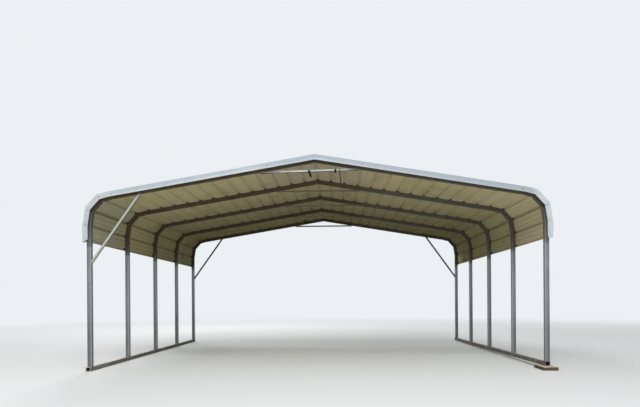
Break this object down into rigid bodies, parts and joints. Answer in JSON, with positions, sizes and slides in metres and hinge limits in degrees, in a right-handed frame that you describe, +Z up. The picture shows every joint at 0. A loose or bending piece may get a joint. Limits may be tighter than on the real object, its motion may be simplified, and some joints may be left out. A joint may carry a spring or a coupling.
{
  "type": "carport",
  "caption": "Open-sided carport of square steel tube bows on ground rails, with a low gable roof of corrugated sheets bent down over the eaves.",
  "frame": {"origin": "middle of the plan between the ground rails and between the end bows, at floor level", "axes": "+X to the right seen from the front, +Y from the front to the back, +Z up"},
  "size_m": [6.8101, 6.3678, 3.1197],
  "materials": {
    "galvanised_tube": "dull galvanised, weathered",
    "roof_sheet": "tan factory coating, dulled",
    "edge_trim": "pale grey coating, satin",
    "light_channel": "bright galvanised, dulled",
    "timber": "weathered, sawn"
  },
  "bodies": {
    "root": {"base_rail_left": "galvanised_tube", "base_rail_right": "galvanised_tube", "support_block": "timber", "rail_stubs": "galvanised_tube", "leg_left_1": "galvanised_tube", "bow_left_1": "galvanised_tube", "leg_right_1": "galvanised_tube", "bow_right_1": "galvanised_tube", "ridge_tie_1": "light_channel", "leg_left_2": "galvanised_tube", "bow_left_2": "galvanised_tube", "leg_right_2": "galvanised_tube", "bow_right_2": "galvanised_tube", "ridge_tie_2": "light_channel", "leg_left_3": "galvanised_tube", "bow_left_3": "galvanised_tube", "leg_right_3": "galvanised_tube", "bow_right_3": "galvanised_tube", "ridge_tie_3": "light_channel", "leg_left_4": "galvanised_tube", "bow_left_4": "galvanised_tube", "leg_right_4": "galvanised_tube", "bow_right_4": "galvanised_tube", "ridge_tie_4": "light_channel", "leg_left_5": "galvanised_tube", "bow_left_5": "galvanised_tube", "leg_right_5": "galvanised_tube", "bow_right_5": "galvanised_tube", "ridge_tie_5": "light_channel", "roof_sheet_ridge": "roof_sheet", "roof_sheet_left_1": "roof_sheet", "roof_sheet_left_2": "roof_sheet", "roof_sheet_left_3": "roof_sheet", "eave_sheet_left": "roof_sheet", "edge_trim_front_left": "edge_trim", "edge_trim_back_left": "edge_trim", "roof_sheet_right_1": "roof_sheet", "roof_sheet_right_2": "roof_sheet", "roof_sheet_right_3": "roof_sheet", "eave_sheet_right": "roof_sheet", "edge_trim_front_right": "edge_trim", "edge_trim_back_right": "edge_trim", "knee_brace_front_left": "light_channel", "knee_brace_back_left": "light_channel", "knee_brace_back_right": "light_channel"}
  },
  "joints": []
}
